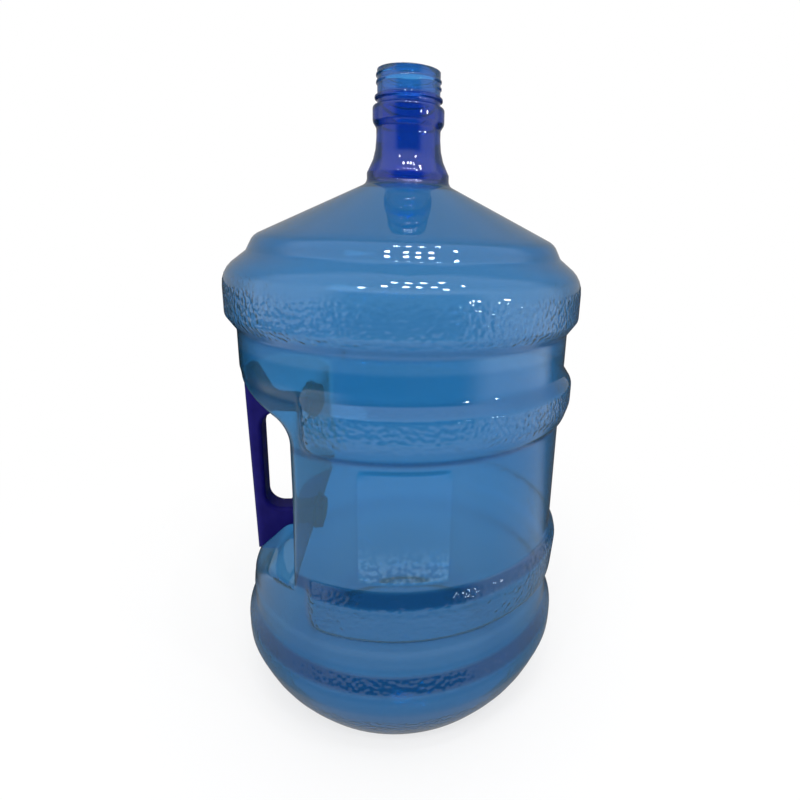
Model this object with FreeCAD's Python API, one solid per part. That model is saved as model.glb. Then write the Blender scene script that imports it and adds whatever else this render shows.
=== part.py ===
import FreeCAD, Part
import math
import os

# PET water jug with a moulded handle, in millimetres.
# The jug's axis is Z, the surface that it stands on is z = 0, and the handle is on the -X side.
# Profiles are lists of corners (distance from the axis, height, corner radius).

# Girth of the body; the other body radii are set in from it
body_radius = 139.0
base_band_inset = 2.0
lower_waist_inset = 7.7
low_rib_lower_inset = 5.1
low_rib_upper_inset = 3.2
label_panel_inset = 9.0
high_rib_lower_inset = 4.4
high_rib_upper_inset = 1.0
upper_waist_inset = 7.8
taper_break_inset = 11.8
foot_outer_inset = 30.5
foot_inner_inset = 48.0
valley_inset = 17.6
cone_base_inset = 22.9
recess_inset = 60.0
floor_hump_inset = 36.0
grip_inset = 6.6
grip_inner_inset = 18.4
horn_inset = 13.6
horn_root_inset = 27.0
rib_end_inset = 71.0

# Walls and fits
body_wall = 1.0
base_wall = 1.6
shoulder_wall = 1.6
handle_gap = 0.3
socket_lip = 2.5

# Base: pushed-up centre, foot ring, tapered corner and band
push_up_height = 24.0
push_up_shoulder_radius = 58.0
push_up_shoulder_drop = 4.0
push_up_round = 70.0
foot_inner_radius = body_radius - foot_inner_inset
foot_inner_round = 6.0
foot_outer_radius = body_radius - foot_outer_inset
foot_outer_round = 11.0
taper_break_radius = body_radius - taper_break_inset
taper_break_height = 26.0
taper_break_round = 120.0
base_taper_height = 51.0
base_band_radius = body_radius - base_band_inset
base_band_height = 13.5
base_slope_height = 14.0
base_band_low_round = 14.0
base_band_top_round = 7.0

# Waists, label panel, its blank pad and the two ribs
lower_waist_radius = body_radius - lower_waist_inset
lower_waist_height = 27.5
lower_waist_round = 8.0
low_rib_height = 41.5
low_rib_lower_radius = body_radius - low_rib_lower_inset
low_rib_upper_radius = body_radius - low_rib_upper_inset
low_rib_step = 4.0
low_rib_slope = 11.0
low_rib_step_round = 2.5
label_panel_radius = body_radius - label_panel_inset
label_panel_height = 93.5
pad_width = 62.0
pad_height = 81.0
pad_rise = 0.5
pad_corner = 7.0
pad_offset = 6.5
high_rib_height = 41.0
high_rib_lower_radius = body_radius - high_rib_lower_inset
high_rib_upper_radius = body_radius - high_rib_upper_inset
high_rib_step = 4.5
high_rib_lean = 11.5
high_rib_slope = 10.0
high_rib_step_round = 3.0
high_rib_lean_round = 12.0
rib_crest_round = 6.0
upper_waist_radius = body_radius - upper_waist_inset
upper_waist_height = 29.0
waist_blend = 4.0
waist_blend_round = 20.0
rib_end_reach = body_radius - rib_end_inset
rib_end_low_corner = 17.0
rib_end_high_corner = 8.0
rib_end_margin = 3.0
rib_sink = 1.0
rib_root_depth = 10.0

# Shoulder: bulge, step and cone
bulge_radius = body_radius
bulge_underside_height = 11.0
bulge_face_height = 31.0
bulge_top_height = 13.8
bulge_root_round = 4.0
bulge_low_round = 6.0
bulge_top_round = 22.0
valley_radius = body_radius - valley_inset
valley_round = 4.0
shoulder_step_height = 10.9
cone_base_radius = body_radius - cone_base_inset
cone_base_round = 14.0
cone_height = 40.8
cone_top_round = 9.0

# Neck and its finish
neck_ring_radius = 31.6
neck_ring_height = 7.5
neck_ring_round = 1.6
neck_flare_radius = 26.2
neck_flare_height = 10.5
neck_flare_round = 40.0
neck_tube_radius = 24.3
neck_tube_height = 21.5
collar_radius = 27.0
collar_height = 16.0
collar_root_round = 4.0
collar_low_round = 5.0
collar_top_round = 3.0
collar_top_ramp = 1.0
bead_groove_height = 3.0
bead_radius = 25.5
bead_height = 3.5
bead_ramp = 0.8
bead_root_round = 1.0
spigot_radius = 23.5
spigot_height = 17.0
bore_radius = 20.4
throat_round = 16.0
lip_edge = 0.9

# Recess for the handle, cut straight through along Y
recess_reach = body_radius - recess_inset
recess_floor_height = 131.8
floor_hump_reach = body_radius - floor_hump_inset
floor_hump_drop = 2.2
floor_hump_round = 14.0
floor_fall_slope = 0.93
recess_opening_height = 124.4
ceiling_slope = 0.34
ceiling_round = 20.0
floor_round = 5.0
recess_edge_round = 9.0

# Handle
handle_width = 21.0
grip_reach = body_radius - grip_inset
grip_inner_reach = body_radius - grip_inner_inset
grip_lean = 0.018
grip_outer_round = 6.0
grip_inner_round = 3.5
grip_tip_round = 1.0
lower_arm_thickness = 13.8
lower_arm_round = 13.0
upper_arm_rise = 102.2
upper_arm_thickness = 11.7
upper_arm_round = 14.0
horn_reach = body_radius - horn_inset
horn_root_reach = body_radius - horn_root_inset
horn_root_round = 10.0
horn_tip_round = 2.0
foot_depth = 7.0
foot_neck = 5.0
lower_foot_low_flare = 5.0
lower_foot_top_flare = 1.2
upper_foot_low_flare = 2.0
upper_foot_top_flare = 8.0
foot_end_round = 1.5
foot_flare_round = 1.0
lip_slope = 5.0
socket_lip_round = 3.0

# Heights, stacked from the base up
base_band_z = base_taper_height
base_slope_z = base_band_z + base_band_height
lower_waist_z = base_slope_z + base_slope_height
low_rib_z = lower_waist_z + lower_waist_height
label_panel_z = low_rib_z + low_rib_height
high_rib_z = label_panel_z + label_panel_height
upper_waist_z = high_rib_z + high_rib_height
bulge_underside_z = upper_waist_z + upper_waist_height
bulge_z = bulge_underside_z + bulge_underside_height
bulge_top_z = bulge_z + bulge_face_height
valley_z = bulge_top_z + bulge_top_height
cone_z = valley_z + shoulder_step_height
neck_ring_z = cone_z + cone_height
neck_flare_z = neck_ring_z + neck_ring_height
neck_tube_z = neck_flare_z + neck_flare_height
collar_z = neck_tube_z + neck_tube_height
bead_groove_z = collar_z + collar_height
bead_z = bead_groove_z + bead_groove_height
spigot_z = bead_z + bead_height
jug_height = spigot_z + spigot_height

# Cutting solids pass the jug by these amounts; arcs take up to this share of a side
outside_overrun = 30.0
outside_reach = body_radius + outside_overrun
recess_overrun = 6.0
mouth_overrun = 5.0
arc_share = 0.98


def unit(start, end):
    """Direction from one profile point to the next."""
    length = math.hypot(end[0] - start[0], end[1] - start[1])
    return (end[0] - start[0]) / length, (end[1] - start[1]) / length


def crossing(point_a, along_a, point_b, along_b):
    """Point where two straight lines of a profile cross."""
    spread = along_a[0] * along_b[1] - along_a[1] * along_b[0]
    gap = (point_b[0] - point_a[0], point_b[1] - point_a[1])
    run = (gap[0] * along_b[1] - gap[1] * along_b[0]) / spread
    return point_a[0] + run * along_a[0], point_a[1] + run * along_a[1]


def shifted(corners, shift, closed=True):
    """Moves every side of an outline to its left by shift, one number for all or one for each side."""
    count = len(corners)
    sides = count if closed else count - 1
    shifts = [shift] * sides if isinstance(shift, float) else shift
    lines = []
    for index in range(sides):
        start = corners[index]
        along = unit(start, corners[(index + 1) % count])
        lines.append(((start[0] - along[1] * shifts[index], start[1] + along[0] * shifts[index]), along))
    moved = []
    for index in range(count):
        if not closed and index in (0, count - 1):
            line = lines[0] if index == 0 else lines[-1]
            end = corners[index]
            offset = shifts[0] if index == 0 else shifts[-1]
            moved.append((end[0] - line[1][1] * offset, end[1] + line[1][0] * offset, end[2]))
            continue
        before, after = lines[index - 1], lines[index]
        turn = before[1][0] * after[1][1] - before[1][1] * after[1][0]
        if abs(turn) < 1e-9:
            moved.append((after[0][0], after[0][1], 0.0))
            continue
        point = crossing(before[0], before[1], after[0], after[1])
        mean_shift = (shifts[index - 1] + shifts[index]) / 2
        radius = corners[index][2]
        if radius > 0:
            radius = max(radius - math.copysign(mean_shift, turn * mean_shift), 0.2)
        moved.append((point[0], point[1], radius))
    return moved


def tangent_lengths(corners):
    """How far each corner's arc reaches along its sides; the smaller of two arcs yields first."""
    count = len(corners)
    lengths = []
    for index, (across, height, radius) in enumerate(corners):
        back = unit((across, height), corners[index - 1])
        ahead = unit((across, height), corners[(index + 1) % count])
        half_angle = math.acos(max(-1.0, min(1.0, back[0] * ahead[0] + back[1] * ahead[1]))) / 2
        lengths.append(radius / math.tan(half_angle) if radius > 0 else 0.0)
    for index in range(count):
        other = (index + 1) % count
        side = math.hypot(corners[other][0] - corners[index][0], corners[other][1] - corners[index][1])
        excess = lengths[index] + lengths[other] - arc_share * side
        for which in sorted((index, other), key=lambda corner: lengths[corner]):
            if excess > 0:
                cut = min(excess, lengths[which])
                lengths[which] -= cut
                excess -= cut
    return lengths


def outline_edges(corners, place):
    """Closed outline of straight sides joined by arcs."""
    count = len(corners)
    starts, ends, edges = [], [], []
    for index, length in enumerate(tangent_lengths(corners)):
        across, height = corners[index][:2]
        back = unit((across, height), corners[index - 1])
        ahead = unit((across, height), corners[(index + 1) % count])
        starts.append((across + back[0] * length, height + back[1] * length))
        ends.append((across + ahead[0] * length, height + ahead[1] * length))
    for index, (across, height, radius) in enumerate(corners):
        start, end = starts[index], ends[index]
        if math.hypot(end[0] - start[0], end[1] - start[1]) > 1e-4:
            chord = ((start[0] + end[0]) / 2, (start[1] + end[1]) / 2)
            half_chord = math.hypot(end[0] - start[0], end[1] - start[1]) / 2
            depth = math.hypot(across - chord[0], height - chord[1])
            side = math.hypot(half_chord, depth)
            towards = unit(chord, (across, height))
            rise = half_chord * (side - half_chord) / depth
            top = (chord[0] + towards[0] * rise, chord[1] + towards[1] * rise)
            edges.append(Part.Arc(place(start), place(top), place(end)).toShape())
        else:
            end = (across, height)
        following = starts[(index + 1) % count]
        if math.hypot(following[0] - end[0], following[1] - end[1]) > 1e-4:
            edges.append(Part.LineSegment(place(end), place(following)).toShape())
    return edges


def turned(corners):
    """Solid of revolution about the jug's axis."""
    wire = Part.Wire(outline_edges(corners, lambda point: FreeCAD.Vector(point[0], 0, point[1])))
    return Part.Face(wire).revolve(FreeCAD.Vector(0, 0, 0), FreeCAD.Vector(0, 0, 1), 360)


def through(corners, half_width):
    """Prism along Y from a side view; the first number of each corner is the distance towards -X."""
    wire = Part.Wire(outline_edges(corners, lambda point: FreeCAD.Vector(-point[0], -half_width, point[1])))
    return Part.Face(wire).extrude(FreeCAD.Vector(0, 2 * half_width, 0))


def body_corners():
    """Outside of the jug from the base's centre to the top of the cone, without the two ribs."""
    return [
        (0.0, push_up_height, 0.0),
        (push_up_shoulder_radius, push_up_height - push_up_shoulder_drop, push_up_round),
        (foot_inner_radius, 0.0, foot_inner_round),
        (foot_outer_radius, 0.0, foot_outer_round),
        (taper_break_radius, taper_break_height, taper_break_round),
        (base_band_radius, base_band_z, base_band_low_round),
        (base_band_radius, base_slope_z, base_band_top_round),
        (lower_waist_radius, lower_waist_z, lower_waist_round),
        (lower_waist_radius, low_rib_z - 3 * waist_blend, waist_blend_round),
        (label_panel_radius, low_rib_z - 2 * waist_blend, waist_blend_round),
        (label_panel_radius, upper_waist_z - waist_blend, waist_blend_round),
        (upper_waist_radius, upper_waist_z, waist_blend_round),
        (upper_waist_radius, bulge_underside_z, bulge_root_round),
        (bulge_radius, bulge_z, bulge_low_round),
        (bulge_radius, bulge_top_z, bulge_top_round),
        (valley_radius, valley_z, valley_round),
        (cone_base_radius, cone_z, cone_base_round),
        (neck_ring_radius, neck_ring_z, cone_top_round),
    ]


def neck_corners():
    """Outside of the neck, from the ring at its foot to the lip."""
    return [
        (neck_ring_radius, neck_flare_z, neck_ring_round),
        (neck_flare_radius, neck_tube_z, neck_flare_round),
        (neck_tube_radius, neck_tube_z + neck_tube_height / 2, neck_flare_round),
        (neck_tube_radius, collar_z, collar_root_round),
        (collar_radius, collar_z + collar_height / 4, collar_low_round),
        (collar_radius, bead_groove_z - collar_top_ramp, collar_top_round),
        (spigot_radius, bead_groove_z, bead_root_round),
        (spigot_radius, bead_z, bead_root_round),
        (bead_radius, bead_z + bead_ramp, bead_ramp),
        (bead_radius, spigot_z - bead_ramp, bead_ramp),
        (spigot_radius, spigot_z, bead_root_round),
        (spigot_radius, jug_height, lip_edge),
    ]


def rib_corners(low_crease, face, high_crease):
    """Section of a rib: its faces, carried into the wall at both creases and closed behind it."""
    root = label_panel_radius - rib_root_depth
    sunk = (label_panel_radius - rib_sink, 0.0)
    low = crossing(face[0], unit(face[0], low_crease), sunk, (0.0, 1.0))
    high = crossing(face[-1], unit(face[-1], high_crease), sunk, (0.0, 1.0))
    return (
        [(root, low[1], 0.0), (low[0], low[1], 0.0)]
        + face
        + [(high[0], high[1], 0.0), (root, high[1], 0.0)]
    )


def low_rib_corners():
    """Lower rib: small step below, face leaning out, long slope above."""
    top = low_rib_z + low_rib_height
    face = [
        (low_rib_lower_radius, low_rib_z + low_rib_step, low_rib_step_round),
        (low_rib_upper_radius, top - low_rib_slope, rib_crest_round),
    ]
    return rib_corners((label_panel_radius, low_rib_z), face, (label_panel_radius, top))


def high_rib_corners():
    """Upper rib: step and lean below, upright face, slope above."""
    top = high_rib_z + high_rib_height
    face = [
        (high_rib_lower_radius, high_rib_z + high_rib_step, high_rib_step_round),
        (high_rib_upper_radius, high_rib_z + high_rib_step + high_rib_lean, high_rib_lean_round),
        (high_rib_upper_radius, top - high_rib_slope, rib_crest_round),
    ]
    return rib_corners((label_panel_radius, high_rib_z), face, (upper_waist_radius, top))


def rib_window(rib_z, rib_height, shrink):
    """Side view that ends a rib with rounded corners before the handle recess."""
    low = rib_z - rib_end_margin
    high = rib_z + rib_height + rib_end_margin
    corners = [
        (rib_end_reach, low, rib_end_low_corner),
        (rib_end_reach, high, rib_end_high_corner),
        (-outside_reach, high, 0.0),
        (-outside_reach, low, 0.0),
    ]
    return through(shifted(corners, shrink), outside_reach)


def recess_corners():
    """Side view of the handle recess, from the floor's outer end to the ceiling's outer end."""
    hump_z = recess_floor_height - floor_hump_drop
    ceiling_z = recess_floor_height + recess_opening_height
    ceiling_end = ceiling_z + ceiling_slope * (outside_reach - recess_reach)
    fall_end = bulge_radius + recess_overrun
    return [
        (recess_reach, recess_floor_height, floor_round),
        (floor_hump_reach, hump_z, floor_hump_round),
        (fall_end, hump_z - floor_fall_slope * (fall_end - floor_hump_reach), 0.0),
        (outside_reach, hump_z - floor_fall_slope * (fall_end - floor_hump_reach), 0.0),
        (outside_reach, ceiling_end, 0.0),
        (recess_reach, ceiling_z, ceiling_round),
    ]


def foot_run(low_z, high_z, low_flare, high_flare):
    """Side view of one flared foot, from its neck's underside round the buried end to its neck's top."""
    foot_end = recess_reach - foot_depth
    neck = recess_reach + foot_neck
    return [
        (neck, low_z, 0.0),
        (recess_reach, low_z - low_flare, foot_flare_round),
        (foot_end, low_z - low_flare, foot_end_round),
        (foot_end, high_z + high_flare, foot_end_round),
        (recess_reach, high_z + high_flare, foot_flare_round),
        (neck, high_z, 0.0),
    ]


def arm_levels():
    """Top of the lower arm, then underside and top of the upper arm."""
    upper_bottom = recess_floor_height + upper_arm_rise
    return recess_floor_height + lower_arm_thickness, upper_bottom, upper_bottom + upper_arm_thickness


def feet():
    """Lower foot, lying on the recess floor, and upper foot, at the end of the upper arm."""
    floor = shifted(recess_corners()[:3], handle_gap, closed=False)
    neck = (recess_reach + foot_neck, 0.0)
    lower_bottom = crossing(floor[0], unit(floor[0], floor[1]), neck, (0.0, 1.0))[1]
    lower_top, upper_bottom, upper_top = arm_levels()
    return [
        foot_run(lower_bottom, lower_top, lower_foot_low_flare, lower_foot_top_flare),
        foot_run(upper_bottom, upper_top, upper_foot_low_flare, upper_foot_top_flare),
    ]


def grip_outer_at(height):
    """Reach of the grip's outer face, which leans out a little towards the top."""
    return grip_reach - grip_lean * (recess_floor_height + upper_arm_rise - height)


def handle_corners():
    """Side view of the handle: grip, two arms with their feet, and a horn at the top."""
    floor = shifted(recess_corners()[:3], handle_gap, closed=False)
    lower_foot, upper_foot = feet()
    lower_top, upper_bottom, upper_top = arm_levels()
    ceiling_z = recess_floor_height + recess_opening_height
    ceiling_gap = handle_gap * math.hypot(1, ceiling_slope)

    def ceiling_at(reach):
        return ceiling_z + ceiling_slope * (reach - recess_reach) - ceiling_gap

    outer_face = ((grip_outer_at(0.0), 0.0), unit((0.0, 0.0), (grip_lean, 1.0)))
    tip = crossing(floor[1], unit(floor[1], floor[2]), *outer_face)
    horn_tip = crossing((recess_reach, ceiling_at(recess_reach)), (1.0, ceiling_slope), *outer_face)
    return (
        [(tip[0], tip[1], grip_tip_round), floor[1]]
        + lower_foot
        + [
            (grip_inner_reach, lower_top, lower_arm_round),
            (grip_inner_reach, upper_bottom, upper_arm_round),
        ]
        + upper_foot
        + [
            (horn_root_reach, upper_top, horn_root_round),
            (horn_reach, ceiling_at(horn_reach), horn_tip_round),
            (horn_tip[0], horn_tip[1], horn_tip_round),
        ]
    )


def socket(foot, grow):
    """Room for one foot, grown on every side."""
    return through(shifted(foot, grow), handle_width / 2 + grow)


def socket_lip_block(foot):
    """Lip of the wall that was blown round one foot, up to its neck."""
    low = min(corner[1] for corner in foot) - handle_gap - socket_lip
    high = max(corner[1] for corner in foot) + handle_gap + socket_lip
    face = recess_reach + foot_neck - handle_gap
    corners = [
        (recess_reach - foot_depth, low, 0.0),
        (recess_reach, low, 0.0),
        (face, low + lip_slope, socket_lip_round),
        (face, high - lip_slope, socket_lip_round),
        (recess_reach, high, 0.0),
        (recess_reach - foot_depth, high, 0.0),
    ]
    return through(corners, handle_width / 2 + handle_gap + socket_lip)


def side_solid(corners, rib_shrink, recess_grow, mouth_round):
    """Turned body with its two ribs and the handle recess, whose mouth is rounded."""
    solid = turned(corners)
    solid = solid.fuse([
        turned(shifted(low_rib_corners(), rib_shrink)).common(
            rib_window(low_rib_z, low_rib_height, rib_shrink)),
        turned(shifted(high_rib_corners(), rib_shrink)).common(
            rib_window(high_rib_z, high_rib_height, rib_shrink)),
    ])
    recess = through(shifted(recess_corners(), -recess_grow), outside_reach)
    solid = solid.cut(recess).Solids[0]
    panel_radius = label_panel_radius - rib_shrink
    rim = [edge for edge in solid.Edges if on_recess_mouth(edge, recess, panel_radius)]
    return solid.makeFillet(mouth_round, rim)


def on_recess_mouth(edge, recess, panel_radius):
    """True for an edge that lies both on the recess and on the panel's cylinder."""
    span = edge.LastParameter - edge.FirstParameter
    for share in (0.1, 0.5, 0.9):
        point = edge.valueAt(edge.FirstParameter + share * span)
        if abs(math.hypot(point.x, point.y) - panel_radius) > 0.01:
            return False
        if recess.Shells[0].distToShape(Part.Vertex(point))[0] > 0.01:
            return False
    return True


def label_pad():
    """Blank pad with rounded corners, hardly raised, on the panel's -Y side."""
    low = label_panel_z + pad_offset
    half = pad_width / 2
    outline = [
        (-half, low, pad_corner),
        (half, low, pad_corner),
        (half, low + pad_height, pad_corner),
        (-half, low + pad_height, pad_corner),
    ]
    disc = [
        (label_panel_radius - body_wall / 2, low - pad_offset, 0.0),
        (label_panel_radius + pad_rise, low - pad_offset, 0.0),
        (label_panel_radius + pad_rise, low + pad_height + pad_offset, 0.0),
        (label_panel_radius - body_wall / 2, low + pad_height + pad_offset, 0.0),
    ]
    window = through(outline, outside_reach)
    front = window.common(Part.makeBox(
        2 * outside_reach, outside_reach, jug_height, FreeCAD.Vector(-outside_reach, -outside_reach, 0)))
    return turned(disc).common(front)


def jug_body():
    """Blown bottle: outside less inside, with the wall flowing round both feet of the handle."""
    outside_corners = body_corners() + neck_corners() + [(0.0, jug_height, 0.0)]
    outside = side_solid(outside_corners, 0.0, 0.0, recess_edge_round).fuse(label_pad())
    for foot in feet():
        outside = outside.fuse(socket_lip_block(foot))
    for foot in feet():
        outside = outside.cut(socket(foot, handle_gap))
    inside = side_solid(inside_corners(), body_wall, body_wall, recess_edge_round - body_wall)
    for foot in feet():
        inside = inside.cut(socket(foot, handle_gap + body_wall))
    return outside.cut(inside).Solids[0]


def side_wall(start):
    """Wall behind the profile's side that begins at this corner."""
    if start[1] >= cone_z:
        return shoulder_wall
    in_base = start[0] < foot_outer_radius and start[1] < base_band_z
    return base_wall if in_base else body_wall


def inside_corners():
    """Inside of the jug: the outside moved in by the wall, up to the bore of the neck."""
    outer = body_corners()
    walls = [side_wall(start) for start in outer[:-1]]
    inner = shifted(outer, walls, closed=False)
    dome = crossing(inner[0], unit(inner[0], inner[1]), (0.0, 0.0), (0.0, 1.0))
    throat = crossing(inner[-1], unit(inner[-2], inner[-1]), (bore_radius, 0.0), (0.0, 1.0))
    return [(0.0, dome[1], 0.0)] + inner[1:-1] + [
        (throat[0], throat[1], throat_round),
        (bore_radius, jug_height + mouth_overrun, 0.0),
        (0.0, jug_height + mouth_overrun, 0.0),
    ]


def handle_plan():
    """Leaning prism that rounds the outer edges of the grip."""
    half = handle_width / 2
    foot = grip_outer_at(0.0)
    corners = [
        (recess_reach - 2 * foot_depth, -half, 0.0),
        (foot, -half, grip_outer_round),
        (foot, half, grip_outer_round),
        (recess_reach - 2 * foot_depth, half, 0.0),
    ]
    wire = Part.Wire(outline_edges(corners, lambda point: FreeCAD.Vector(-point[0], point[1], 0)))
    return Part.Face(wire).extrude(FreeCAD.Vector(-grip_lean * jug_height, 0, jug_height))


def handle():
    """Moulded handle: side view and plan together, with the finger opening's edges rounded."""
    solid = through(handle_corners(), handle_width / 2).common(handle_plan()).Solids[0]
    lower_top, upper_bottom, upper_top = arm_levels()
    opening = []
    for edge in solid.Edges:
        middle = edge.valueAt((edge.FirstParameter + edge.LastParameter) / 2)
        on_side = abs(abs(middle.y) - handle_width / 2) < 0.01
        in_opening = recess_reach + foot_neck + 0.01 < -middle.x < grip_inner_reach + 0.01
        if on_side and in_opening and lower_top - 0.01 < middle.z < upper_bottom + 0.01:
            opening.append(edge)
    return solid.makeFillet(grip_inner_round, opening)


if __name__ == "__main__":
    os.makedirs("parts", exist_ok=True)
    for name, solid in (("jug_body", jug_body()), ("handle", handle())):
        solid.exportStep("parts/" + name + ".step")
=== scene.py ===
import math

import bpy
import numpy as np
from mathutils import Matrix, Vector


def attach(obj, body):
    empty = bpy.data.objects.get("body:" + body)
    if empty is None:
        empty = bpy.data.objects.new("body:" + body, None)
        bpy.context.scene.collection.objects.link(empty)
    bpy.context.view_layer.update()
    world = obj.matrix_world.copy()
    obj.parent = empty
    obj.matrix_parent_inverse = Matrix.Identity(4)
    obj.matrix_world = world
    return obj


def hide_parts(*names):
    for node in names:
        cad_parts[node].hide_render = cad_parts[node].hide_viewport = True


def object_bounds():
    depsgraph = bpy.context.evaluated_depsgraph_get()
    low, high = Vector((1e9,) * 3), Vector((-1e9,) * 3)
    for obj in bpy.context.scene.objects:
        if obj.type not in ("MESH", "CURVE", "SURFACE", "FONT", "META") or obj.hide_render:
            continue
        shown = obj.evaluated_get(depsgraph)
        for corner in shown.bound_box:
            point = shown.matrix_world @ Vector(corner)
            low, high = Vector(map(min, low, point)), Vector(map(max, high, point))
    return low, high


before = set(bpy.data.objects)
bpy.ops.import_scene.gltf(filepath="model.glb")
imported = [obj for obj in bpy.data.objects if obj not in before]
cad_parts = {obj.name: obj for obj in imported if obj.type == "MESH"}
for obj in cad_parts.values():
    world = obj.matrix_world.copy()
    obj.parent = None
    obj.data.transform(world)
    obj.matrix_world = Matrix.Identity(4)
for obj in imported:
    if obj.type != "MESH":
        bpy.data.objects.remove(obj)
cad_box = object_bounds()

# Sizes are in millimetres until the meshes are made. The jug's axis is Z and its handle is on the -X side.
METRES = 0.001
jug_height = 1000 * cad_box[1][2]

# Profile of the jug's outside, as corners (distance from the axis, height, corner radius)
base_profile = [
    (0.0, 24.0, 0.0),
    (58.0, 20.0, 70.0),
    (91.0, 0.0, 6.0),
    (108.5, 0.0, 11.0),
    (127.2, 26.0, 120.0),
    (137.0, 51.0, 14.0),
    (137.0, 64.5, 7.0),
    (131.3, 78.5, 8.0),
]
lower_waist = 131.3
upper_waist = 131.2
panel_radius = 130.0
panel_low_z = 98.0
upper_waist_z = 282.0
waist_blend = 4.0
low_rib_profile = [
    (130.0, 106.0, 1.5),
    (133.9, 110.0, 2.5),
    (135.8, 136.5, 6.0),
    (130.0, 147.5, 3.0),
]
high_rib_profile = [
    (130.0, 241.0, 1.5),
    (134.6, 245.5, 3.0),
    (138.0, 257.0, 12.0),
    (138.0, 272.0, 6.0),
    (131.2, 282.0, 3.0),
]
shoulder_profile = [
    (131.2, 311.0, 4.0),
    (139.0, 322.0, 6.0),
    (139.0, 353.0, 22.0),
    (121.4, 366.8, 4.0),
    (116.1, 377.7, 14.0),
    (31.6, 418.5, 9.0),
]
neck_profile = [
    (31.6, 426.0, 1.6),
    (26.2, 436.5, 40.0),
    (24.3, 447.25, 40.0),
    (24.3, 458.0, 4.0),
    (27.0, 462.0, 5.0),
    (27.0, 473.0, 3.0),
    (23.5, 474.0, 1.0),
    (23.5, 477.0, 1.0),
    (25.5, 477.8, 0.8),
    (25.5, 479.7, 0.8),
    (23.5, 480.5, 1.0),
    (23.5, 497.5, 0.9),
]
bore_radius = 20.4
throat_round = 16.0
side_wall = 1.0
base_wall = 1.6
base_wall_reach = (110.0, 30.0)
neck_join_z = 410.0

# Blank pad on the front of the label panel
pad_half_width = 31.0
pad_heights = (154.0, 235.0)
pad_corner = 7.0
pad_rise = 0.5
pad_slope = 1.2

# Rib ends and the recess for the handle, by distance towards -X
handle_side = -0.05
far_away = 1e4
rib_end_reach = 68.0
rib_end_margin = 3.0
rib_end_corners = (17.0, 8.0)
rib_end_width = 12.0
recess_profile = [
    (145.0, 90.5, 0.0),
    (103.0, 129.6, 14.0),
    (79.0, 131.8, 5.0),
    (79.0, 256.2, 20.0),
    (160.0, 283.7, 0.0),
]
recess_edge_heights = (140.0, 205.0)
recess_edges = (6.0, 14.0)
wall_reach = 79.0
lip_reach = 83.7
lip_half_width = 13.3
lip_heights = ((123.9, 149.6), (229.2, 256.5))
pocket_reach = 71.7
pocket_half_width = 11.5
pocket_heights = ((130.5, 147.5), (231.3, 254.5))
lip_slope = 4.0

# Screw thread: one right-handed ridge
thread_pitch = 4.9
thread_first_z = 486.5
thread_turns = (-0.15, 1.72)
thread_height = 0.9
thread_flank = 1.35
thread_flank_share = 0.65
thread_fade_turns = 0.12

# Mesh density: the longest step between points, rows (millimetres) or columns (degrees) in each place
arc_step = 0.25
arc_side_share = 0.49
nearly_straight = 1.5707
bend_window = 5
row_turn = 12.0
row_step = 9.0
base_centre = 3.0
base_rows = 20
body_from = 100.0
recess_rows = (92.0, 280.0)
recess_reach = 138.0
recess_row_step = 2.7
thread_rows = (482.0, 30.0)
thread_row_step = 0.5
pad_row_width = 1.0
pad_row_step = 0.6
column_places = 3601
column_step = 3.0
close_columns = ((114.0, 181.0, 1.5), (118.0, 130.0, 0.7), (162.0, 181.0, 1.1))
pad_column_width = 0.6
pad_column_step = 0.3
throat_bend_points = 110
throat_bend_step = 6
throat_straight_rows = 10

# Tinted PET: bands are (lowest height, highest height, strength)
pet_clearness = 0.9
pet_roughness = 0.03
pet_ior = 1.57
pet_absorption = (0.0, 0.247, 1.0, 1.0)
pet_density = 174.0
pet_tint = (0.10, 0.44, 0.67, 1.0)
# Painted sheen: a paler, greyer tint on the bulge, the ribs' faces and the base
painted_sheen_tint = (0.22, 0.53, 0.73, 1.0)
painted_sheen_bands = ((298.0, 354.0, 1.0), (249.0, 274.0, 0.6), (82.0, 133.0, 0.5), (6.0, 62.0, 0.5))
# Painted shade: deeper blue bands on the front along the ribs' upper slopes and creases
painted_shade_tint = (0.02, 0.17, 0.36, 1.0)
painted_shade_bands = (
    (135.0, 149.0, 0.85), (64.0, 80.0, 0.85), (237.0, 246.0, 0.6),
    (307.0, 318.0, 0.35), (272.0, 284.0, 0.25),
)
pad_tint = (0.12, 0.50, 0.73, 1.0)
pad_tint_margin = 2.0
pad_tint_edge = 1.0
# Painted glints: lighter spots tinted into the pad's lower part
glint_tint = (0.45, 0.85, 0.97, 1.0)
glint_heights = (157.0, 186.0)
glint_strength = 0.75
glint_levels = (0.4, 0.6)
recess_tint = (0.34, 0.72, 0.88, 1.0)
recess_tint_radii = (129.0, 123.5)
neck_tint = (0.02, 0.20, 0.58, 1.0)
neck_heights = (416.0, 483.0)
band_edge = 4.0
front_reaches = (30.0, 90.0)
hammered_bands = ((314.0, 347.0, 1.0), (249.0, 274.0, 1.0), (110.0, 146.0, 0.8), (60.0, 78.0, 0.4))
hammered_radii = (130.5, 132.5)
hammered_base = (8.0, 40.0, 0.6)
hammered_base_radii = (100.5, 103.0)
dimple_size = 3.2
dimple_depth = 0.8

# Navy plastic of the handle
navy_tints = ((0.007, 0.0055, 0.105, 1.0), (0.011, 0.009, 0.135, 1.0))
navy_roughness = (0.36, 0.44)
navy_gloss = 0.06
patch_size = 14.0
patch_levels = (0.3, 0.7)
grain_size = 0.9
grain_depth = 0.05

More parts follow.
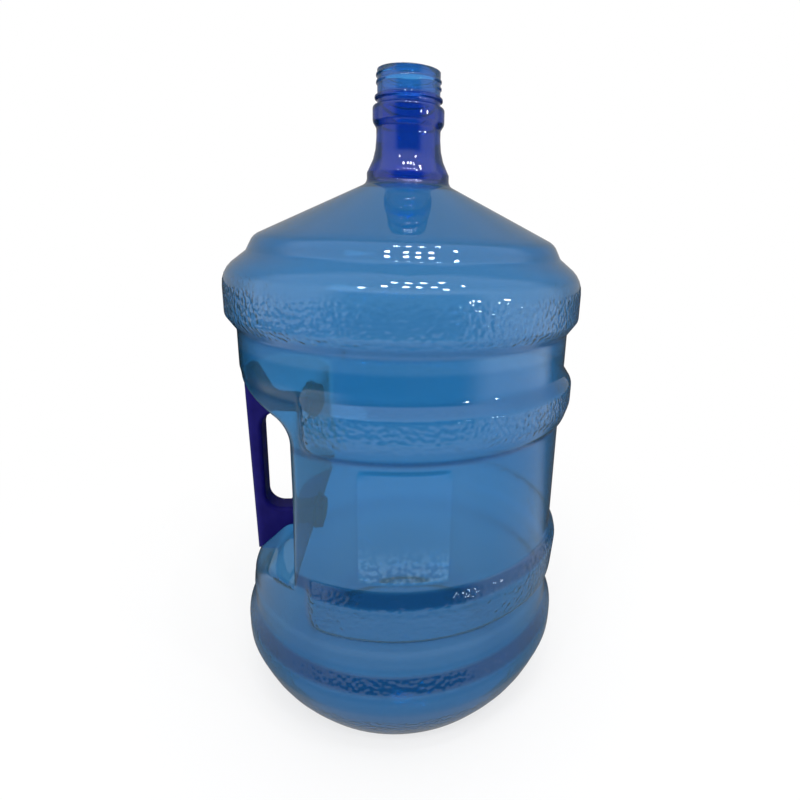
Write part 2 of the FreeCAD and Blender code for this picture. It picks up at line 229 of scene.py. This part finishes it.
# Floor and the room in reflections. Levels are for the front, the sides and behind. Distances are in metres.
floor_colour = (0.9, 0.9, 0.9, 1.0)
floor_roughness = 0.9
floor_reach = 8.0
floor_drop = 0.0003
floor_glow = 0.7
floor_glow_distances = (0.15, 0.75)
# The floor's glow is dimmed near the jug: a painted shadow, seen in reflections and through the jug
shaded_distances = (0.16, 0.40)
shaded_level = 0.4
painted_under_shadow_distances = (0.12, 0.32)
painted_under_shadow_level = 0.65
room_angles = (32.0, 58.0)
back_angles = (98.0, 118.0)
room_distances = (0.55, 1.0)
horizon_distances = (1.6, 2.5)
near_floor_levels = (0.7, 0.55, 0.08)
far_floor_levels = (0.05, 1.0, 0.06)
left_floor_level = 0.12
wall_levels = (0.03, 0.8, 0.35)
ceiling_levels = (1.0, 1.0, 0.4)
room_top = 28.0
ceiling_from = 40.0
ceiling_through = 0.6
world_light = 0.85

# Lamps, in metres and watts. Each sparkle lamp is (azimuth, elevation) in degrees.
lamp_aim = (0.0, 0.0, 0.25)
key_place = (-1.4, -1.6, 2.2)
key_size = 0.9
key_power = 9
sparkle_lamps = (
    (-108, 55), (-91, 55), (-80, 55), (-68, 55), (-43, 55),
    (-104, 68), (-88, 68), (-72, 68), (-50, 68),
    (-122, 47), (-62, 47), (-51, 13), (-30, 13),
)
sparkle_distance = 2.3
sparkle_size = 0.12
sparkle_power = 2.0


def rounded(corners):
    """Points along straight sides joined by arcs, close together."""
    points = [np.array(corners[0][:2])]
    for before, corner, after in zip(corners, corners[1:], corners[2:]):
        here = np.array(corner[:2])
        back = np.array(before[:2]) - here
        ahead = np.array(after[:2]) - here
        room = min(np.linalg.norm(back), np.linalg.norm(ahead)) * arc_side_share
        back = back / np.linalg.norm(back)
        ahead = ahead / np.linalg.norm(ahead)
        half = math.acos(max(-1.0, min(1.0, float(back @ ahead)))) / 2
        reach = min(corner[2] / math.tan(half), room) if half < nearly_straight else 0.0
        if reach < 1e-6:
            points.append(here)
            continue
        radius = reach * math.tan(half)
        middle = (back + ahead) / np.linalg.norm(back + ahead)
        centre = here + middle * radius / math.sin(half)
        start = here + back * reach - centre
        turn = math.pi - 2 * half
        side = math.copysign(1.0, back[1] * ahead[0] - back[0] * ahead[1])
        count = max(3, math.ceil(turn * radius / arc_step))
        for share in np.linspace(0.0, 1.0, count + 1):
            angle = side * turn * share
            cos, sin = math.cos(angle), math.sin(angle)
            turned = (cos * start[0] - sin * start[1], sin * start[0] + cos * start[1])
            points.append(centre + np.array(turned))
    points.append(np.array(corners[-1][:2]))
    dense = [points[0]]
    for start, end in zip(points, points[1:]):
        count = max(1, math.ceil(np.linalg.norm(end - start) / arc_step))
        dense += [start + (end - start) * share for share in np.linspace(0.0, 1.0, count + 1)[1:]]
    return np.array(dense)


def smooth(value):
    """Zero below 0, one above 1, with a soft start and end."""
    value = np.clip(value, 0.0, 1.0)
    return value * value * (3 - 2 * value)


def soft_least(a, b, width):
    """The smaller of two surfaces, rounded where they cross."""
    blend = np.clip(1 - np.abs(a - b) / width, 0.0, 1.0)
    return np.minimum(a, b) - blend ** 2 * width / 4


body_profile = (
    base_profile
    + [
        (lower_waist, panel_low_z - waist_blend, 20.0),
        (panel_radius, panel_low_z, 20.0),
        (panel_radius, upper_waist_z - waist_blend, 20.0),
        (upper_waist, upper_waist_z, 20.0),
    ]
    + shoulder_profile
    + neck_profile
)
outside_line = rounded(body_profile)
recess_line = rounded(recess_profile)
low_rib_line = rounded(low_rib_profile)
high_rib_line = rounded(high_rib_profile)


def reach_at(z):
    """Distance towards -X of the recess's wall."""
    return np.interp(z, recess_line[:, 1], recess_line[:, 0])


def rib_reach(z, line):
    """Where a rib's rounded end stops, as a distance towards -X."""
    low, high = line[0, 1] - rib_end_margin, line[-1, 1] + rib_end_margin
    back = 0.0
    for corner, inside in zip(rib_end_corners, (z - low, high - z)):
        depth = np.clip(corner - inside, 0.0, corner)
        back = np.maximum(back, corner - np.sqrt(corner ** 2 - depth ** 2))
    return rib_end_reach - back


def patches(y, z, half_width, heights):
    """One inside either foot's place on the recess wall, zero outside it."""
    total = 0.0
    for low, high in heights:
        inside = np.minimum(np.minimum(z - low, high - z), half_width - np.abs(y))
        total = total + smooth(inside / lip_slope)
    return total


def pad_height_at(angle, z, radius):
    """Height of the blank pad on the -Y side, with rounded corners."""
    across = pad_half_width - np.abs(radius * np.cos(angle))
    up = np.minimum(z - pad_heights[0], pad_heights[1] - z)
    corner = pad_corner - np.hypot(np.maximum(pad_corner - across, 0.0), np.maximum(pad_corner - up, 0.0))
    inside = np.minimum(np.minimum(across, up), corner)
    return pad_rise * smooth(inside / pad_slope + 0.5) * (np.sin(angle) < 0)


def thread_rise(angle, z):
    """Height of the screw thread's ridge above the neck's spigot."""
    turns = angle / (2 * math.pi)
    rise = np.zeros(np.broadcast(angle, z).shape)
    for whole in (-1, 0, 1, 2):
        along = turns + whole
        away = np.abs(z - thread_first_z - thread_pitch * along)
        starting = smooth((along - thread_turns[0]) / thread_fade_turns)
        ending = smooth((thread_turns[1] - along) / thread_fade_turns)
        fade = starting * ending
        crest = thread_height * smooth((thread_flank - away) / (thread_flank_share * thread_flank))
        rise = np.maximum(rise, crest * fade)
    return rise


def body_radius(angle, z, plain, for_inside):
    """Distance of the jug's surface from the axis."""
    cos, sin = np.cos(angle), np.sin(angle)
    radius = plain + 0 * angle
    for line in (low_rib_line, high_rib_line):
        rib = np.interp(z, line[:, 1], line[:, 0]) - plain
        rib = np.where((z > line[0, 1]) & (z < line[-1, 1]), np.maximum(rib, 0.0), 0.0)
        ends = smooth((rib_reach(z, line) + 0.5 * rib_end_width + cos * (plain + rib)) / rib_end_width)
        radius = radius + rib * ends
    if not for_inside:
        radius = radius + pad_height_at(angle, z, plain)
    towards = np.maximum(-cos, 1e-3)
    reach = reach_at(z)
    if for_inside:
        y = pocket_reach * sin / towards
        pocket = patches(y, z, pocket_half_width + lip_slope, pocket_heights)
        reach = reach - pocket * np.maximum(reach - pocket_reach, 0.0)
    else:
        y = lip_reach * sin / towards
        lip = patches(y, z, lip_half_width, lip_heights)
        reach = np.maximum(reach, wall_reach + lip * (lip_reach - wall_reach))
    recess = np.where(cos < handle_side, reach / towards, far_away)
    in_recess = (z > recess_line[0, 1]) & (z < recess_line[-1, 1])
    cut = soft_least(radius, recess, np.interp(z, recess_edge_heights, recess_edges))
    return np.where(in_recess, cut, radius) + thread_rise(angle, z)


def spread(density, places):
    """Places along a line so that each step holds the same share of the density."""
    steps = np.diff(places) * (density[1:] + density[:-1]) / 2
    total = np.concatenate([[0.0], np.cumsum(steps)])
    count = math.ceil(total[-1])
    return np.interp(np.linspace(0.0, total[-1], count + 1), total, places)


def profile_rows(line):
    """Rows of the mesh: close where the profile turns, where the recess slopes and along the thread."""
    step = np.diff(line, axis=0)
    length = np.linalg.norm(step, axis=1)
    along = np.concatenate([[0.0], np.cumsum(length)])
    heading = np.unwrap(np.arctan2(step[:, 1], step[:, 0]))
    bend = np.abs(np.gradient(heading)) / length
    bend = np.convolve(bend, np.ones(bend_window) / bend_window, mode="same")
    density = np.maximum(bend / math.radians(row_turn), 1 / row_step)
    middle = (line[1:] + line[:-1]) / 2
    radius, z = middle[:, 0], middle[:, 1]
    outer = radius > body_from
    never_level = z + 1e-6 * np.arange(len(z))
    recess_slope = np.abs(np.gradient(reach_at(z), never_level))
    near = outer & (z > recess_rows[0]) & (z < recess_rows[1]) & (reach_at(z) < recess_reach)
    density = np.where(near, np.maximum(density, np.hypot(1, recess_slope) / recess_row_step), density)
    threaded = (z > thread_rows[0]) & (radius < thread_rows[1])
    density = np.where(threaded, np.maximum(density, 1 / thread_row_step), density)
    for edge in pad_heights:
        at_edge = outer & (np.abs(z - edge) < pad_row_width)
        density = np.where(at_edge, np.maximum(density, 1 / pad_row_step), density)
    places = spread(density, (along[1:] + along[:-1]) / 2)
    return np.interp(places, along, line[:, 0]), np.interp(places, along, line[:, 1])


def columns():
    """Angles of the mesh's columns: close at the recess, the rib ends, the feet and the pad's edges."""
    degrees = np.linspace(0.0, 180.0, column_places)
    density = np.full(len(degrees), 1 / column_step)
    for low, high, step in close_columns:
        density[(degrees > low) & (degrees < high)] = 1 / step
    pad_edge = math.degrees(math.asin(pad_half_width / panel_radius))
    density[np.abs(np.abs(degrees - 90) - pad_edge) < pad_column_width] = 1 / pad_column_step
    half = spread(density, degrees)
    return np.radians(np.concatenate([half, 360.0 - half[-2:0:-1]]))


def grid_normals(points):
    """Outward unit normals of a closed ring of columns by rows."""
    across = np.roll(points, -1, axis=1) - np.roll(points, 1, axis=1)
    up = np.gradient(points, axis=0)
    normals = np.cross(across, up)
    return normals / np.maximum(np.linalg.norm(normals, axis=2, keepdims=True), 1e-12)


def throat_line(cone_radius, cone_z):
    """Inside of the neck, from the top of the cone's inside to the mouth."""
    cone_foot, cone_top = shoulder_profile[-2:]
    slope = (cone_top[0] - cone_foot[0]) / (cone_top[1] - cone_foot[1])
    throat_z = cone_z + (bore_radius - cone_radius) / slope
    line = rounded([
        (cone_radius, cone_z, 0.0),
        (bore_radius, throat_z, throat_round),
        (bore_radius, jug_height, 0.0),
    ])
    bend = np.arange(0, throat_bend_points, throat_bend_step)
    straight = np.linspace(throat_bend_points, len(line) - 1, throat_straight_rows).astype(int)
    picks = np.unique(np.concatenate([bend, straight]))
    return line[picks[1:]]


def skin_faces(count_rows, count_columns):
    """Quads between the rings, then a fan of triangles to each of the two points after the rings."""
    row, column = np.meshgrid(np.arange(count_rows - 1), np.arange(count_columns), indexing="ij")
    following = (column + 1) % count_columns
    first = row * count_columns
    above = first + count_columns
    quads = np.stack([first + column, first + following, above + following, above + column], axis=2)
    faces = [tuple(quad) for quad in quads.reshape(-1, 4).tolist()]
    bottom = count_rows * count_columns
    top = bottom + 1
    last = (count_rows - 1) * count_columns
    for index in range(count_columns):
        after = (index + 1) % count_columns
        faces.append((bottom, after, index))
        faces.append((top, last + index, last + after))
    return faces


def jug_shell():
    """Vertices and faces of the blown bottle: outside, lip and inside as one closed skin."""
    angles = columns()
    radii, heights = profile_rows(outside_line)
    keep = radii > base_centre
    radii, heights = radii[keep][:, None], heights[keep][:, None]
    heights[-1] = jug_height

    def ring(radius, z):
        radius = radius + 0 * angles
        return np.stack([radius * np.cos(angles), radius * np.sin(angles), z + 0 * radius], axis=2)

    outside = ring(body_radius(angles[None, :], heights, radii, False), heights)
    pocketed = ring(body_radius(angles[None, :], heights, radii, True), heights)
    in_base = (radii < base_wall_reach[0]) & (heights < base_wall_reach[1])
    wall = np.where(in_base, base_wall, side_wall)
    lined = pocketed - grid_normals(pocketed) * wall[:, :, None]
    body_rows = int(np.searchsorted(heights[base_rows:, 0], neck_join_z)) + base_rows
    inside = lined[:body_rows]
    throat = throat_line(np.linalg.norm(inside[-1][0, :2]), inside[-1].mean(axis=0)[2])
    neck_inside = ring(throat[:, 0][:, None], throat[:, 1][:, None])
    rings = np.concatenate([outside, neck_inside[::-1], inside[::-1]])
    centres = [[0, 0, outside[0, 0, 2]], [0, 0, inside[0, 0, 2]]]
    vertices = np.concatenate([rings.reshape(-1, 3), centres])
    return vertices * METRES, skin_faces(*rings.shape[:2])


def add_mesh(name, vertices, faces):
    mesh = bpy.data.meshes.new(name)
    mesh.from_pydata([tuple(vertex) for vertex in vertices.tolist()], [], faces)
    mesh.validate()
    mesh.shade_smooth()
    thing = bpy.data.objects.new(name, mesh)
    bpy.context.scene.collection.objects.link(thing)
    return thing


def new_material(name):
    """Material with its nodes, links and shader."""
    material = bpy.data.materials.new(name)
    material.use_nodes = True
    nodes = material.node_tree.nodes
    shader = nodes["Principled BSDF"]
    return material, nodes, material.node_tree.links, shader


def math_node(nodes, links, operation, *values, clamp=False):
    """Math node; each value is a number or an output."""
    node = nodes.new("ShaderNodeMath")
    node.operation = operation
    node.use_clamp = clamp
    for socket, value in zip(node.inputs, values):
        if isinstance(value, (int, float)):
            socket.default_value = value
        else:
            links.new(value, socket)
    return node.outputs[0]


def ramp(nodes, links, value, start, end, low=0.0, high=1.0):
    """Soft rise from low to high as value goes from start to end."""
    node = nodes.new("ShaderNodeMapRange")
    node.interpolation_type = "SMOOTHSTEP"
    links.new(value, node.inputs["Value"])
    for name, number in (("From Min", start), ("From Max", end), ("To Min", low), ("To Max", high)):
        node.inputs[name].default_value = number
    return node.outputs["Result"]


def product(nodes, links, first, *others):
    for other in others:
        first = math_node(nodes, links, "MULTIPLY", first, other)
    return first


def ray_sum(nodes, links, camera, glossy, transmission):
    """Sum of three values: for the camera's rays, for reflected rays and for rays that only pass through."""
    path = nodes.new("ShaderNodeLightPath")
    bounced = math_node(nodes, links, "MINIMUM", path.outputs["Glossy Depth"], 1.0)
    straight = math_node(nodes, links, "SUBTRACT", 1.0, bounced)
    reflecting = product(nodes, links, path.outputs["Is Glossy Ray"], bounced)
    passing = product(nodes, links, path.outputs["Is Transmission Ray"], straight)
    on_camera = product(nodes, links, path.outputs["Is Camera Ray"], camera)
    on_glossy = product(nodes, links, reflecting, glossy)
    on_transmission = product(nodes, links, passing, transmission)
    both = math_node(nodes, links, "ADD", on_camera, on_glossy)
    return math_node(nodes, links, "ADD", both, on_transmission, clamp=True)


def around(nodes, links, x, y, levels):
    """Brightness of the room in reflections, by bearing: in front (the -Y side), at the sides and behind."""
    front, side, behind = levels
    bearing = math_node(nodes, links, "ARCTAN2", x, product(nodes, links, y, -1.0))
    offset = math_node(nodes, links, "ABSOLUTE", bearing)
    room_start, room_end, back_start, back_end = [math.radians(angle) for angle in room_angles + back_angles]
    rise = ramp(nodes, links, offset, room_start, room_end, front, side)
    fall = ramp(nodes, links, offset, back_start, back_end, 1.0, behind / side)
    return product(nodes, links, rise, fall)


def blended(nodes, links, share, first, second):
    """First where share is 0, second where it is 1."""
    step = math_node(nodes, links, "SUBTRACT", second, first)
    return math_node(nodes, links, "ADD", first, product(nodes, links, step, share))


def tinted(nodes, links, share, first, second):
    """First colour where share is 0, second where it is 1; the first may be an output."""
    tint = nodes.new("ShaderNodeMix")
    tint.data_type = "RGBA"
    links.new(share, tint.inputs["Factor"])
    before, after = [socket for socket in tint.inputs if socket.type == "RGBA"]
    if isinstance(first, tuple):
        before.default_value = first
    else:
        links.new(first, before)
    after.default_value = second
    return [socket for socket in tint.outputs if socket.type == "RGBA"][0]


def noise(nodes, links, place, size, detail):
    """Noise whose lumps are about size millimetres across."""
    node = nodes.new("ShaderNodeTexNoise")
    node.inputs["Scale"].default_value = 1 / (size * METRES)
    node.inputs["Detail"].default_value = detail
    links.new(place, node.inputs["Vector"])
    return node.outputs["Fac"]


def bump_onto(nodes, links, shader, height, depth, strength=1.0):
    """Bump of the given depth in millimetres; strength is a number or an output."""
    bump = nodes.new("ShaderNodeBump")
    bump.inputs["Distance"].default_value = depth * METRES
    if isinstance(strength, float):
        bump.inputs["Strength"].default_value = strength
    else:
        links.new(strength, bump.inputs["Strength"])
    links.new(height, bump.inputs["Height"])
    links.new(bump.outputs["Normal"], shader.inputs["Normal"])


def clear_pet():
    """Tinted transparent PET with hammered bands: its tint varies by place, with painted sheen, shade and
    glints, and deepens in thick walls.
    """
    material, nodes, links, shader = new_material("clear_blue_pet")
    shader.inputs["Transmission Weight"].default_value = pet_clearness
    shader.inputs["Roughness"].default_value = pet_roughness
    shader.inputs["IOR"].default_value = pet_ior
    absorb = nodes.new("ShaderNodeVolumeAbsorption")
    absorb.inputs["Color"].default_value = pet_absorption
    absorb.inputs["Density"].default_value = pet_density
    links.new(absorb.outputs["Volume"], nodes["Material Output"].inputs["Volume"])
    place = nodes.new("ShaderNodeTexCoord").outputs["Object"]
    parts = nodes.new("ShaderNodeSeparateXYZ")
    links.new(place, parts.inputs["Vector"])
    x, y, z = parts.outputs
    squares = math_node(nodes, links, "ADD", product(nodes, links, x, x), product(nodes, links, y, y))
    radius = math_node(nodes, links, "SQRT", squares)

    def ramp_over(value, places, low=0.0, high=1.0):
        """Ramp between two places in millimetres."""
        return ramp(nodes, links, value, places[0] * METRES, places[1] * METRES, low, high)

    def band(low, high, strength):
        rise = ramp_over(z, (low, low + band_edge), 0.0, strength)
        fall = ramp_over(z, (high - band_edge, high), 1.0, 0.0)
        return product(nodes, links, rise, fall)

    def all_bands(bands):
        total = 0.0
        for low, high, strength in bands:
            total = math_node(nodes, links, "ADD", total, band(low, high, strength))
        return total

    # Hammered texture on the bulge, the ribs' faces and the base's corner
    dimples = noise(nodes, links, place, dimple_size, 0.0)
    faces = product(nodes, links, all_bands(hammered_bands), ramp_over(radius, hammered_radii))
    near_floor = product(nodes, links, band(*hammered_base), ramp_over(radius, hammered_base_radii))
    hammered = math_node(nodes, links, "ADD", faces, near_floor)
    bump_onto(nodes, links, shader, dimples, dimple_depth, hammered)

    # Painted light: the bulge, the ribs' faces and the base get a paler, greyer tint, standing in for their
    # sheen and hot spots
    pale = all_bands(painted_sheen_bands)

    # Painted shade: a deeper blue on the front along the ribs' upper slopes and the creases, where they look
    # dark
    on_front = ramp_over(product(nodes, links, y, -1.0), front_reaches)
    painted_shade = product(nodes, links, all_bands(painted_shade_bands), on_front)

    # The blank pad, with painted glints: lighter spots in its lower part
    side = math_node(nodes, links, "ABSOLUTE", x)
    pad_width = ramp_over(side, (pad_half_width, pad_half_width - pad_tint_edge))
    pad_height = band(pad_heights[0] - pad_tint_margin, pad_heights[1] + pad_tint_margin, 1.0)
    pad = product(nodes, links, pad_width, on_front, pad_height)
    fade = ramp_over(z, glint_heights[::-1], 0.0, glint_strength)
    glints = product(nodes, links, pad, fade, ramp(nodes, links, dimples, *glint_levels))

    in_recess = band(recess_profile[0][1], upper_waist_z, 1.0)
    recess = product(nodes, links, in_recess, ramp_over(radius, recess_tint_radii))
    neck = band(*neck_heights, 1.0)

    colour = pet_tint
    for share, tint in (
        (pale, painted_sheen_tint), (pad, pad_tint), (glints, glint_tint),
        (painted_shade, painted_shade_tint), (recess, recess_tint), (neck, neck_tint),
    ):
        colour = tinted(nodes, links, share, colour, tint)
    links.new(colour, shader.inputs["Base Color"])
    return material


def navy_plastic():
    """Moulded plastic: a fine grain, with slightly uneven colour and gloss."""
    material, nodes, links, shader = new_material("navy_plastic")
    shader.inputs["Specular IOR Level"].default_value = navy_gloss
    place = nodes.new("ShaderNodeTexCoord").outputs["Object"]
    patch = ramp(nodes, links, noise(nodes, links, place, patch_size, 2.0), *patch_levels)
    links.new(tinted(nodes, links, patch, *navy_tints), shader.inputs["Base Color"])
    links.new(blended(nodes, links, patch, *navy_roughness), shader.inputs["Roughness"])
    bump_onto(nodes, links, shader, noise(nodes, links, place, grain_size, 1.0), grain_depth)
    return material


def pale_floor():
    """Plain pale floor with the jug's soft shadow, going white further off.

    Reflected rays see it dark far off in front and behind, and on the left up to the horizon, with a painted
    shadow in its glow near the jug. Rays through the jug see it a little darker underneath, a painted shadow
    in its glow.
    """
    material, nodes, links, shader = new_material("pale_floor")
    shader.inputs["Base Color"].default_value = floor_colour
    shader.inputs["Roughness"].default_value = floor_roughness
    shader.inputs["Specular IOR Level"].default_value = 0.0
    place = nodes.new("ShaderNodeTexCoord").outputs["Object"]
    parts = nodes.new("ShaderNodeSeparateXYZ")
    links.new(place, parts.inputs["Vector"])
    x, y = parts.outputs["X"], parts.outputs["Y"]
    away = nodes.new("ShaderNodeVectorMath")
    away.operation = "LENGTH"
    links.new(place, away.inputs[0])
    distance = away.outputs["Value"]
    # Painted shadow: the glow seen in reflections is dimmed near the jug
    near = product(
        nodes, links,
        around(nodes, links, x, y, near_floor_levels),
        ramp(nodes, links, distance, *shaded_distances, shaded_level, 1.0))
    left = math_node(nodes, links, "LESS_THAN", x, 0.0)
    left_level = ramp(nodes, links, distance, *horizon_distances, left_floor_level, 1.0)
    far = product(
        nodes, links,
        around(nodes, links, x, y, far_floor_levels),
        blended(nodes, links, left, 1.0, left_level))
    in_reflection = blended(nodes, links, ramp(nodes, links, distance, *room_distances), near, far)
    # Painted shadow: the glow seen through the jug is dimmed under it
    through = ramp(nodes, links, distance, *painted_under_shadow_distances, painted_under_shadow_level, 1.0)
    glow = nodes.new("ShaderNodeEmission")
    glow.inputs["Color"].default_value = (1.0, 1.0, 1.0, 1.0)
    links.new(ray_sum(nodes, links, 1.0, in_reflection, through), glow.inputs["Strength"])
    to_camera = ramp(nodes, links, distance, *floor_glow_distances, floor_glow, 1.0)
    mix = nodes.new("ShaderNodeMixShader")
    links.new(ray_sum(nodes, links, to_camera, 1.0, 1.0), mix.inputs["Fac"])
    links.new(shader.outputs["BSDF"], mix.inputs[1])
    links.new(glow.outputs["Emission"], mix.inputs[2])
    links.new(mix.outputs["Shader"], nodes["Material Output"].inputs["Surface"])
    return material


def dress(thing, material):
    thing.data.materials.clear()
    thing.data.materials.append(material)


vertices, faces = jug_shell()
jug = add_mesh("jug_shell", vertices, faces)
dress(jug, clear_pet())
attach(jug, "root")
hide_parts("jug_body")

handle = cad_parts["handle"]
dress(handle, navy_plastic())

floor_mesh = bpy.data.meshes.new("floor")
floor_corners = [(floor_reach * x, floor_reach * y, 0) for x, y in ((-1, -1), (1, -1), (1, 1), (-1, 1))]
floor_mesh.from_pydata(floor_corners, [], [(0, 1, 2, 3)])
floor = bpy.data.objects.new("floor", floor_mesh)
floor.location.z = -floor_drop
bpy.context.scene.collection.objects.link(floor)
dress(floor, pale_floor())

# World: white to the camera, even light for the shading. In reflections it is dark in front below room_top,
# and light at the sides and overhead.
world = bpy.data.worlds.new("studio")
bpy.context.scene.world = world
world.use_nodes = True
nodes, links = world.node_tree.nodes, world.node_tree.links
world.cycles.sampling_method = "NONE"
direction = nodes.new("ShaderNodeSeparateXYZ")
links.new(nodes.new("ShaderNodeTexCoord").outputs["Generated"], direction.inputs["Vector"])
x, y, z = direction.outputs
overhead = ramp(nodes, links, z, math.sin(math.radians(room_top)), math.sin(math.radians(ceiling_from)))
walls = around(nodes, links, x, y, wall_levels)
ceiling = around(nodes, links, x, y, ceiling_levels)
reflected = blended(nodes, links, overhead, walls, ceiling)
through = blended(nodes, links, overhead, 1.0, ceiling_through)
shown = ray_sum(nodes, links, 1.0, reflected, through)
shading = math_node(nodes, links, "SUBTRACT", 1.0, ray_sum(nodes, links, 1.0, 1.0, 1.0))
lit = product(nodes, links, shading, world_light)
nodes["Background"].inputs["Color"].default_value = (1, 1, 1, 1)
links.new(math_node(nodes, links, "ADD", shown, lit), nodes["Background"].inputs["Strength"])


def lamp(name, place, size, power, shape):
    """Area lamp aimed at the jug's middle."""
    data = bpy.data.lights.new(name, "AREA")
    data.shape = shape
    data.size, data.size_y = size, size
    data.energy = power
    thing = bpy.data.objects.new(name, data)
    thing.location = place
    aim = Vector(lamp_aim) - Vector(place)
    thing.rotation_euler = aim.to_track_quat("-Z", "Y").to_euler()
    bpy.context.scene.collection.objects.link(thing)
    return thing


key_light = lamp("key_light", key_place, key_size, key_power, "RECTANGLE")
key_light.visible_glossy = False

# Small lamps, whose reflections sparkle on the shoulder and on the ribs' upper slopes
for index, (azimuth, elevation) in enumerate(sparkle_lamps):
    turn_angle, lift = math.radians(azimuth), math.radians(elevation)
    place = (
        sparkle_distance * math.cos(lift) * math.cos(turn_angle),
        sparkle_distance * math.cos(lift) * math.sin(turn_angle),
        sparkle_distance * math.sin(lift) + lamp_aim[2],
    )
    lamp("sparkle_%d" % index, place, sparkle_size, sparkle_power, "DISK")

# Camera, fitted to the photograph
camera_place = (0.0, -0.4415, 0.3852)
yaw, pitch, roll = math.radians(5.45), math.radians(15.24), math.radians(2.05)
focal_px = 533.1
centre_x_px, centre_y_px = 455.0, 376.4
frame_px = 800.0
sensor_mm = 36.0
forward = Vector((math.sin(yaw) * math.cos(pitch), math.cos(yaw) * math.cos(pitch), -math.sin(pitch)))
right = Vector((math.cos(yaw), -math.sin(yaw), 0.0))
up = right.cross(forward)
rolled_right = math.cos(roll) * right + math.sin(roll) * up
rolled_up = math.cos(roll) * up - math.sin(roll) * right
camera_data = bpy.data.cameras.new("camera")
camera_data.sensor_width = sensor_mm
camera_data.lens = focal_px / frame_px * sensor_mm
camera_data.shift_x = (frame_px / 2 - centre_x_px) / frame_px
camera_data.shift_y = (centre_y_px - frame_px / 2) / frame_px
camera = bpy.data.objects.new("camera", camera_data)
turn = Matrix((rolled_right, rolled_up, -forward)).transposed().to_4x4()
camera.matrix_world = Matrix.Translation(Vector(camera_place)) @ turn
bpy.context.scene.collection.objects.link(camera)
bpy.context.scene.camera = camera
bpy.context.scene.view_settings.view_transform = "Standard"
